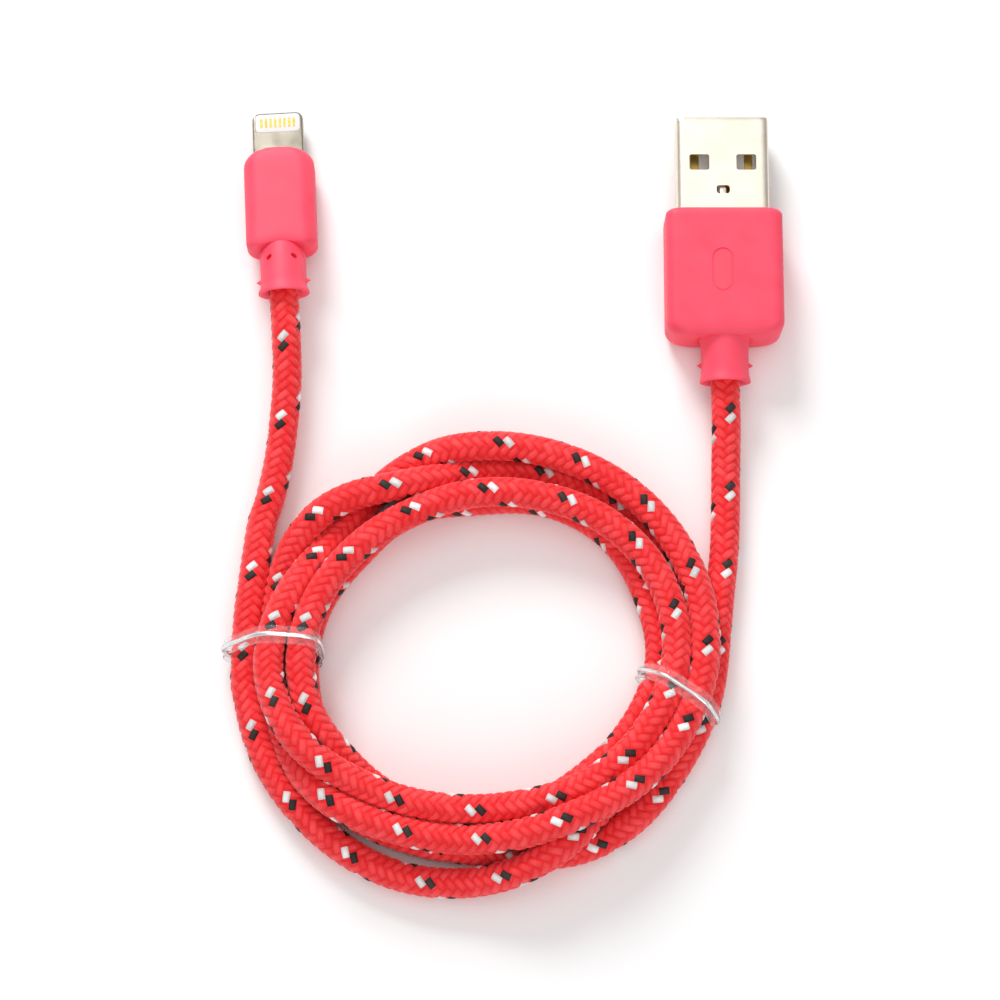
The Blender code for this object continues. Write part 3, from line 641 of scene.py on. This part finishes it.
def colour_yarns(mesh, fine_u, fine_v, count, u, v):
    """Gives each float its yarn's material, a random tone of its own with painted shade in its valleys and
    a painted highlight on its crown, and UVs across and along the yarn.
    """
    steps = len(CELL_STEPS)
    a, b = fine_u // steps, fine_v // steps
    kind = (a + b) % 4
    first = kind < 2
    # A tracer's float ducks under its neighbours at both ends
    inside = np.where(kind == 0, fine_v % steps > 0, fine_v % steps < steps - 1)
    tracer = first & inside
    material = np.zeros(len(mesh.polygons), dtype=np.int32)
    family = a % (CARRIERS // 2)
    material[:count] = tracer * ((family == WHITE_YARN) + 2 * (family == BLACK_YARN))
    mesh.polygons.foreach_set("material_index", material)
    for name in ("braid", "braid_white", "braid_black"):
        mesh.materials.append(MATERIALS[name])

    random = np.random.default_rng(YARN_SEED)
    float_number = np.where(
        first,
        a * FIRST_FLOAT_FACTORS[0] + (b - kind) * FIRST_FLOAT_FACTORS[1],
        b * SECOND_FLOAT_FACTORS[0] + (a - kind + 2) * SECOND_FLOAT_FACTORS[1],
    )
    _, number = np.unique(float_number, return_inverse=True)
    shades = random.uniform(*SHADE_RANGE, number.max() + 1)[number]
    corner_count = len(mesh.loops)
    shade = np.zeros(corner_count)
    vertex = np.zeros(corner_count, dtype=np.int32)
    mesh.loops.foreach_get("vertex_index", vertex)
    crown = crown_height(u, v) / YARN_CROWN
    # Each float's random tone, plus painted shade in the valleys between floats and a painted highlight on
    # the crowns
    raised = crown[vertex[:count * 4]] - MIDDLE_CROWN
    shade[:count * 4] = np.repeat(shades, 4) + CROWN_PAINTED_SHADE * raised
    layer = mesh.attributes.new("shade", "FLOAT", "CORNER")
    layer.data.foreach_set("value", shade)

    # Both coordinates of a corner are taken from its face's side, so that the closing column joins
    corner_u = np.append(u, [0, 0])[vertex[:count * 4]].reshape(-1, 4)
    corner_v = np.append(v, [0, 0])[vertex[:count * 4]].reshape(-1, 4)
    wrapped = corner_u < corner_u[:, :1] - 1
    corner_u = corner_u + wrapped * (CARRIERS // 2)
    corner_v = corner_v + wrapped * (CARRIERS // 2)
    across = np.where(first[:, None], corner_u, corner_v + SECOND_WAY_OFFSET) * YARN_SPACING
    along = np.where(first[:, None], corner_v, corner_u) * YARN_SPACING
    uv = np.zeros((corner_count, 2))
    uv[:count * 4, 0] = across.ravel()
    uv[:count * 4, 1] = along.ravel()
    uv_layer = mesh.uv_layers.new(name="yarn")
    uv_layer.data.foreach_set("uv", uv.ravel())


def add_cord():
    points, places = cord_path()
    mesh = braid_mesh(points, places)
    mesh.shade_smooth()
    mesh.set_sharp_from_angle(angle=math.radians(38))
    cord = new_piece("cord_braid", mesh, "braid", "cord_coil", "cord_phone_lead", "cord_charger_lead")
    return cord, points, places


# ---------------------------------------------------------------- the plugs

def collar_rings(rear, length, shoulder, lip, root, mouth_lean):
    """A strain relief's collar: a root, a waist, a thin flared lip and the bore that grips the cord."""
    mouth = rear - length
    profile = (
        (rear + 0.15, root), (rear - 0.15, (root + shoulder) / 2), (rear - 0.6, shoulder),
        (mouth + 1.6, shoulder - 0.05), (mouth + 0.9, shoulder + 0.02), (mouth + 0.45, lip - 0.05),
        (mouth + 0.2, lip), (mouth + 0.05, lip - 0.02), (mouth, lip - 0.15), (mouth + 0.02, lip - 0.4),
        (mouth + 0.25, 2.35), (mouth + 0.5, 2.1), (mouth + 0.9, 1.7), (mouth + 1.6, 1.6),
    )
    rings = []
    for y, radius in profile:
        ring = rounded_ring(radius, radius, radius * 0.999, y)
        ring[:, 1] -= mouth_lean * ring[:, 2] * min(max((rear - 1.5 - y) / (length - 1.5), 0.0), 1.0)
        rings.append(ring)
    return rings


def edge_insets(radius, steps=7):
    """How far in and how deep each step round a rounded edge lies, from its face to its side."""
    for step in range(steps + 1):
        angle = step / steps * math.pi / 2
        yield radius * (1 - math.sin(angle)), radius * (1 - math.cos(angle))


def housing_rings(size, corner, front_round, rear_round, rear_rise, collar):
    """Rounded rings from the housing's front face to its collar's bore."""
    half_width, half_height, length = size[0] / 2, size[2] / 2, size[1]
    front_x, front_z = front_round
    rear_x, rear_z = rear_round
    rings = []
    for inset, depth in edge_insets(1.0):
        rings.append(rounded_ring(half_width - front_x * inset, half_height - front_z * inset,
                                  corner, -depth * front_x))
    middle_steps = 24
    start, end = -front_x, -length + rear_x
    for step in range(1, middle_steps):
        y = start + (end - start) * step / middle_steps
        rings.append(rounded_ring(half_width, half_height, corner, y))
    for inset, depth in reversed(list(edge_insets(1.0, 10))):
        rear_corner = corner + (rear_rise - corner) * inset * 0.6
        rings.append(rounded_ring(half_width - rear_x * inset, half_height - rear_z * inset,
                                  rear_corner, -length + rear_x * depth))
    shoulder = rings[-1]
    target = collar[0]
    for share in (0.35, 0.7, 0.9):
        blend = shoulder * (1 - share) + target * share
        blend[:, 1] = -length
        rings.append(blend)
    return rings + collar


def joined(shapes):
    """One mesh of several closed bodies, from lists of points and faces."""
    points, faces, start = [], [], 0
    for shape_points, shape_faces in shapes:
        points.append(shape_points)
        faces += [tuple(index + start for index in face) for face in shape_faces]
        start += len(shape_points)
    return np.concatenate(points), faces


def nub(centre, direction, radius, height):
    """A small pointed sliver of flash where the mould's halves met."""
    centre, direction = np.array(centre), np.array(direction)
    sides = 12
    angles = np.linspace(0, 2 * math.pi, sides, endpoint=False)
    ring = centre + np.stack([0 * angles, radius * np.cos(angles), 0.45 * radius * np.sin(angles)], 1)
    points = np.vstack([ring - direction * 0.2, ring, centre + direction * height])
    faces = [(k, (k + 1) % sides, (k + 1) % sides + sides, k + sides) for k in range(sides)]
    faces += [(k + sides, (k + 1) % sides + sides, 2 * sides) for k in range(sides)]
    faces.append(tuple(range(sides))[::-1])
    return points, faces


def add_flash(name, side_x, y, matrix):
    """The two slivers of flash on a collar's sides, with their roots inside it."""
    nubs = [nub((side * side_x, y, 0.0), (side, 0.0, 0.0), 0.4, 0.6) for side in (-1, 1)]
    points, faces = joined(nubs)
    mesh = finished_mesh(name, points, faces, matrix, [MATERIALS["collar"]])
    new_piece(name, mesh, "housing_plastic")


def finished_mesh(name, points, faces, matrix, materials, sharp_degrees=40):
    mesh = numpy_mesh(name, points, faces, materials)
    mesh.transform(matrix)
    shape = bmesh.new()
    shape.from_mesh(mesh)
    bmesh.ops.recalc_face_normals(shape, faces=shape.faces)
    shape.to_mesh(mesh)
    shape.free()
    mesh.shade_smooth()
    mesh.set_sharp_from_angle(angle=math.radians(sharp_degrees))
    return mesh


def cut(piece, cutters):
    """Takes closed shapes out of a piece."""
    for number, (points, faces, matrix) in enumerate(cutters):
        tool = bpy.data.objects.new("tool", finished_mesh("tool", points, faces, matrix, []))
        bpy.context.scene.collection.objects.link(tool)
        modifier = piece.modifiers.new(f"cut_{number}", "BOOLEAN")
        modifier.object = tool
        modifier.operation = "DIFFERENCE"
        modifier.solver = "EXACT"
        bpy.context.view_layer.update()
        graph = bpy.context.evaluated_depsgraph_get()
        mesh = bpy.data.meshes.new_from_object(piece.evaluated_get(graph), depsgraph=graph)
        piece.modifiers.remove(modifier)
        piece.data = mesh
        bpy.data.objects.remove(tool)
    piece.data.shade_smooth()
    piece.data.set_sharp_from_angle(angle=math.radians(35))


def pill(length, width, top, bottom, centre, steps=12):
    """A standing pill: an outline with round ends, along Y, between two heights."""
    radius, run = width / 2, (length - width) / 2
    angles = np.linspace(0, math.pi, steps + 1)
    upper = np.stack([radius * np.cos(angles), run + radius * np.sin(angles)], 1)
    outline = np.vstack([upper, -upper]) + np.array(centre)
    rings = [np.column_stack([outline, np.full(len(outline), height)]) for height in (bottom, top)]
    return loft(rings)


def add_charger_housing():
    """The soft housing, with a plain pill-shaped recess and inlay in its top."""
    collar = collar_rings(-CHARGER_HOUSING_SIZE[1], CHARGER_COLLAR_LENGTH, 3.1, 3.3, 3.35, 0.08)
    rings = housing_rings(CHARGER_HOUSING_SIZE, CHARGER_HOUSING_CORNER, (1.0, 0.9), (2.0, 0.9), 3.0, collar)
    points, faces = loft(rings)
    matrix = plug_matrix(CHARGER_FRONT, LEVEL)
    add_flash("charger_housing_flash", *CHARGER_FLASH_PLACE, matrix)
    mesh = finished_mesh("charger_housing_shell", points, faces, matrix, [MATERIALS["housing"]])
    piece = new_piece("charger_housing_shell", mesh, "housing_plastic", "charger_plug_housing")
    cut(piece, [(*pill(*RECESS_PILL, *RECESS_HEIGHTS, MARK_CENTRE), matrix)])
    inlay = finished_mesh("charger_housing_inlay", *pill(*INLAY_PILL, *INLAY_HEIGHTS, MARK_CENTRE),
                          matrix, [MATERIALS["collar"]])
    new_piece("charger_housing_inlay", inlay, "housing_plastic")
    return piece


def scooped(points, length):
    """Draws the top of the housing's rear face forward, in an arch over the collar."""
    points = points.copy()
    x, y, z = points.T
    arch = SCOOP_DEPTH * np.clip(1 - (x / SCOOP_HALF_WIDTH) ** 2, 0, 1) * np.clip(z / 2.4, 0, 1)
    fade = np.clip((y + length - 6.0) / -5.0, 0, 1) * np.clip((y + length + 3.5) / 3.0, 0, 1)
    points[:, 1] += arch * fade
    return points


def add_phone_housing():
    """The soft housing, with a crowned top, a scooped rear edge and two slanting pin holes."""
    half_width, length = PHONE_HOUSING_SIZE[0] / 2, PHONE_HOUSING_SIZE[1]
    collar = collar_rings(-length, PHONE_COLLAR_LENGTH, 3.0, 3.3, 2.7, 0.16)
    rings = housing_rings(PHONE_HOUSING_SIZE, PHONE_HOUSING_CORNER, (2.1, 0.42), (1.1, 0.3), 2.2, collar)
    for ring in rings[:-len(collar)]:
        ring[:, 2] *= 1.03 - 0.09 * (ring[:, 0] / half_width) ** 2
    for index, ring in enumerate(rings[:4]):
        ring[:, 1] += PHONE_FRONT_BULGE * (1 - (ring[:, 0] / half_width) ** 2) * (1 - index / 8)
    points, faces = loft(rings)
    points = scooped(points, length)
    matrix = plug_matrix(PHONE_FRONT, PHONE_TURN)
    add_flash("phone_housing_flash", PHONE_FLASH_SIDE, -length - PHONE_FLASH_BACK, matrix)
    mesh = finished_mesh("phone_housing_shell", points, faces, matrix, [MATERIALS["housing"]])
    piece = new_piece("phone_housing_shell", mesh, "housing_plastic", "phone_plug_housing")
    x, y, z = PIN_HOLE_PLACE
    tools = []
    for side in (-1, 1):
        lean = Matrix.Rotation(side * PIN_HOLE_LEAN, 4, "Y") @ Matrix.Rotation(side * PIN_HOLE_TURN, 4, "Z")
        place = Matrix.Translation((side * x, -length - y, z))
        tools.append((*pill(*PIN_HOLE_PILL, *PIN_HOLE_HEIGHTS, (0.0, 0.0)), matrix @ place @ lean))
    cut(piece, tools)


def rounded_outline(width, length, corner, steps=6):
    """A flat rectangle with round corners, counterclockwise round the origin."""
    points = []
    for quarter, (x_sign, y_sign) in enumerate(((1, 1), (-1, 1), (-1, -1), (1, -1))):
        for step in range(steps + 1):
            angle = (quarter + step / steps) * math.pi / 2
            points.append((x_sign * (width / 2 - corner) + corner * math.cos(angle),
                           y_sign * (length / 2 - corner) + corner * math.sin(angle)))
    return np.array(points)


def plate(width, length, corner, top, bottom, centre, edge=0.0):
    """A flat plate with round corners in plan, and rounded edges above and below."""
    levels = []
    for inset, depth in edge_insets(edge, 4) if edge else [(0.0, 0.0)]:
        levels.append((inset, top - depth))
    levels += [(inset, bottom + top - height) for inset, height in reversed(levels)]
    rings = []
    for inset, height in levels:
        outline = rounded_outline(width - 2 * inset, length - 2 * inset, corner - inset) + np.array(centre)
        rings.append(np.column_stack([outline, np.full(len(outline), height)]))
    return loft(rings)


def add_charger_shell():
    """The metal shell: a square tube with a rounded lip, two windows above and below, and a latch."""
    front = SHELL_EXPOSED
    lip_start = front - SHELL_LIP_LENGTH
    stations = [(0.0, y) for y in np.linspace(-SHELL_BURIED, lip_start, SHELL_ROWS)]
    stations += [(0.04, front - 0.05), (0.12, front), (0.2, front), (0.28, front - 0.05)]
    stations += [(SHELL_WALL, y) for y in np.linspace(lip_start, -SHELL_BURIED, SHELL_ROWS)]
    rings = []
    for inset, y in stations:
        rings.append(rounded_ring(SHELL_WIDTH / 2 - inset, SHELL_HEIGHT / 2 - inset,
                                  SHELL_CORNER - 0.9 * inset, y))
    points, faces = loft(rings, open_ends=True)
    matrix = plug_matrix(CHARGER_FRONT, LEVEL)
    mesh = finished_mesh("charger_shell_metal", points, faces, matrix, [MATERIALS["nickel"]])
    piece = new_piece("charger_shell_metal", mesh, "nickel", "charger_plug_shell")
    tools = []
    for side in (-1, 1):
        window = plate(*WINDOW_SIZE, WINDOW_CORNER, CUT_HEIGHT, -CUT_HEIGHT,
                       (side * WINDOW_SIDE, front - WINDOW_TO_TIP))
        tools.append((*window, matrix))
    hole = plate(*LATCH_HOLE_SIZE, LATCH_HOLE_CORNER, CUT_HEIGHT, 1.0, (0.0, front - LATCH_HOLE_TO_TIP))
    tools.append((*hole, matrix))
    cut(piece, tools)

    # The latch's tab is bent down into its hole from the rear edge
    root = Matrix.Translation((0.0, front - LATCH_TAB_ROOT_TO_TIP, SHELL_HEIGHT / 2 - 0.17))
    bend = root @ Matrix.Rotation(LATCH_TAB_BEND, 4, "X")
    flat_tab = plate(*LATCH_TAB_SIZE, 0.15, 0.1, -0.1, (0.0, 0.42), 0.06)
    tab = finished_mesh("latch_tab", *flat_tab, matrix @ bend, [MATERIALS["nickel"]])
    new_piece("charger_shell_latch", tab, "nickel")
    return piece


def add_phone_tab():
    """The plug's metal frame, blasted and with rounded edges, and the white insert in its mouth."""
    matrix = plug_matrix(PHONE_FRONT, PHONE_TURN)
    middle = (0.0, (TAB_EXPOSED - TAB_BURIED) / 2)
    half = TAB_HALF_THICKNESS
    points, faces = plate(TAB_WIDTH, TAB_EXPOSED + TAB_BURIED, TAB_CORNER, half, -half, middle, TAB_EDGE)
    mesh = finished_mesh("phone_tab_metal", points, faces, matrix, [MATERIALS["blasted"]], 50)
    piece = new_piece("phone_tab_metal", mesh, "nickel", "phone_plug_tab_frame")
    insert_middle = (0.0, TAB_EXPOSED - INSERT_TO_TIP)
    cut(piece, [(*plate(*INSERT_HOLE_SIZE, INSERT_HOLE_CORNER, 1.0, -1.0, insert_middle), matrix)])
    body = plate(*INSERT_SIZE, INSERT_CORNER, half - INSERT_EDGE, INSERT_EDGE - half, insert_middle,
                 INSERT_EDGE)
    mesh = finished_mesh("phone_insert_body", *body, matrix, [MATERIALS["white"]])
    new_piece("phone_insert_body", mesh, "white_plastic", "phone_plug_insert")


# ---------------------------------------------------------------- the ties

# Half of the band's section: how far across and how far out, from the crown to the bead at its edge
TIE_HALF_SECTION = (
    (0.0, 0.47), (0.18, 0.43), (0.32, 0.32), (0.42, 0.17), (0.55, 0.11), (0.8, 0.07), (0.95, 0.11),
    (1.05, 0.1), (1.1, 0.02), (1.05, -0.07), (0.95, -0.08), (0.8, -0.04), (0.4, -0.1), (0.0, -0.14),
)
TIE_SECTION = TIE_HALF_SECTION + tuple((-x, z) for x, z in TIE_HALF_SECTION[-2:0:-1])
TIE_CLEARANCE = 0.22
TIE_WIRE_SIZE = 0.30
TIE_WIRE_HEIGHT = 0.13
TIE_WIRE_SIDES = 10
TIE_ANGLES = 360
TIE_STEP = 0.35
TIE_SMOOTHINGS = 6
TIE_LOWEST = 0.5
TIE_SEARCH = 11


def tie_loop(name, points):
    """The loop of a band pulled round the strands, in the tie's own leaning plane."""
    centre, turn = TIES[name]
    along_axis = np.array((math.cos(turn), math.sin(turn)))
    across_axis = np.array((-math.sin(turn), math.cos(turn)))
    flat = points[:, :2] - np.array(centre)
    along, across = flat @ along_axis, flat @ across_axis
    crossing = np.where((across[:-1] * across[1:] <= 0) & (np.abs(along[:-1]) < TIE_SEARCH))[0]
    strands = np.array([(along[k], points[k, 2]) for k in crossing])
    angles = np.linspace(0, 2 * math.pi, TIE_ANGLES, endpoint=False)
    directions = np.stack([np.cos(angles), np.sin(angles)], 1)
    slack = TIE_SLACK[name] * np.clip(-directions[:, 0], 0, 1) ** 3
    reach = (strands @ directions.T).max(axis=0) + CORD_RADIUS + TIE_CLEARANCE + slack
    # The envelope of the band's supporting lines, thinned to even steps
    change = (np.roll(reach, -1) - np.roll(reach, 1)) / (2 * (angles[1] - angles[0]))
    sideways = np.stack([-directions[:, 1], directions[:, 0]], 1)
    loop = reach[:, None] * directions + change[:, None] * sideways
    loop[:, 1] = np.maximum(loop[:, 1], TIE_LOWEST)
    closed = np.vstack([loop, loop[:1]])
    smooth, _ = evenly_spaced(np.column_stack([closed, np.zeros(len(closed))]), TIE_STEP)
    smooth = smooth[:-1, :2]
    for _ in range(TIE_SMOOTHINGS):
        smooth = 0.5 * smooth + 0.25 * (np.roll(smooth, 1, axis=0) + np.roll(smooth, -1, axis=0))
    lean = (smooth[:, 1:] - smooth[:, 1].max()) * TIE_LEAN[name]
    place = np.array(centre) + smooth[:, :1] * along_axis + lean * across_axis
    return np.column_stack([place, smooth[:, 1]]), np.array((*across_axis, 0.0))


def swept_loop(name, loop, across, section, material):
    """A closed band: a section carried round the loop, with its width along the across axis."""
    tangents = np.roll(loop, -1, axis=0) - np.roll(loop, 1, axis=0)
    tangents /= np.linalg.norm(tangents, axis=1)[:, None]
    outward = np.cross(across, tangents)
    middle = loop.mean(axis=0)
    if ((loop - middle) * outward).sum() < 0:
        outward = -outward
    section = np.array(section)
    count = len(section)
    points = loop[:, None, :] + section[None, :, :1] * across + section[None, :, 1:] * outward[:, None, :]
    points = points.reshape(-1, 3)
    total = len(loop)
    faces = []
    for row in range(total):
        for k in range(count):
            beside, after = (k + 1) % count, (row + 1) % total
            faces.append((row * count + k, row * count + beside, after * count + beside, after * count + k))
    return finished_mesh(name, points, faces, Matrix.Scale(MM, 4), [material], 60)


def add_tie(name, path_points):
    """A clear band round the strands, with its wire inside."""
    loop, across = tie_loop(name, path_points)
    band = swept_loop(name + "_band", loop, across, TIE_SECTION, MATERIALS["clear"])
    band_piece = new_piece(name + "_band", band, "clear_sleeve", name + "_sleeve")
    # Clear plastic lets the light through to the yarn below it
    band_piece.visible_shadow = False
    angles = np.linspace(0, 2 * math.pi, TIE_WIRE_SIDES, endpoint=False)
    heights = TIE_WIRE_HEIGHT + TIE_WIRE_SIZE * np.sin(angles)
    round_section = np.stack([TIE_WIRE_SIZE * np.cos(angles), heights], 1)
    core = swept_loop(name + "_core", loop, across, round_section, MATERIALS["tie_wire"])
    new_piece(name + "_core", core, "tie_wire", name + "_wire")


# ---------------------------------------------------------------- the CAD nodes that stay

NODE_MATERIALS = (
    ("charger_plug_shell", "nickel"), ("charger_plug_tongue", "tongue"), ("charger_contact", "brass"),
    ("charger_plug_inner", "mould"), ("phone_plug_inner", "mould"), ("charger_wire_", "insulation_"),
    ("phone_wire_", "insulation_"), ("phone_plug_tab", "blasted"), ("phone_plug_insert", "white"),
    ("phone_contact", "gold"), ("phone_plug_board", "board"), ("phone_plug_chip", "chip"),
)


def finish_node(node):
    """Gives a kept CAD node its material."""
    for prefix, name in NODE_MATERIALS:
        if node.startswith(prefix):
            if name.endswith("_"):
                name += node.removeprefix(prefix)
            obj = bpy.data.objects[node]
            for slot in obj.material_slots:
                slot.link = "OBJECT"
                slot.material = MATERIALS[name]
            if not obj.material_slots:
                obj.data.materials.append(MATERIALS[name])


def main():
    add_camera()
    add_surroundings()
    cord, points, places = add_cord()
    charger_housing = add_charger_housing()
    add_phone_housing()
    shell = add_charger_shell()
    add_phone_tab()
    for name in TIES:
        add_tie(name, points)
    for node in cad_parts:
        finish_node(node if isinstance(node, str) else node["name"])


main()
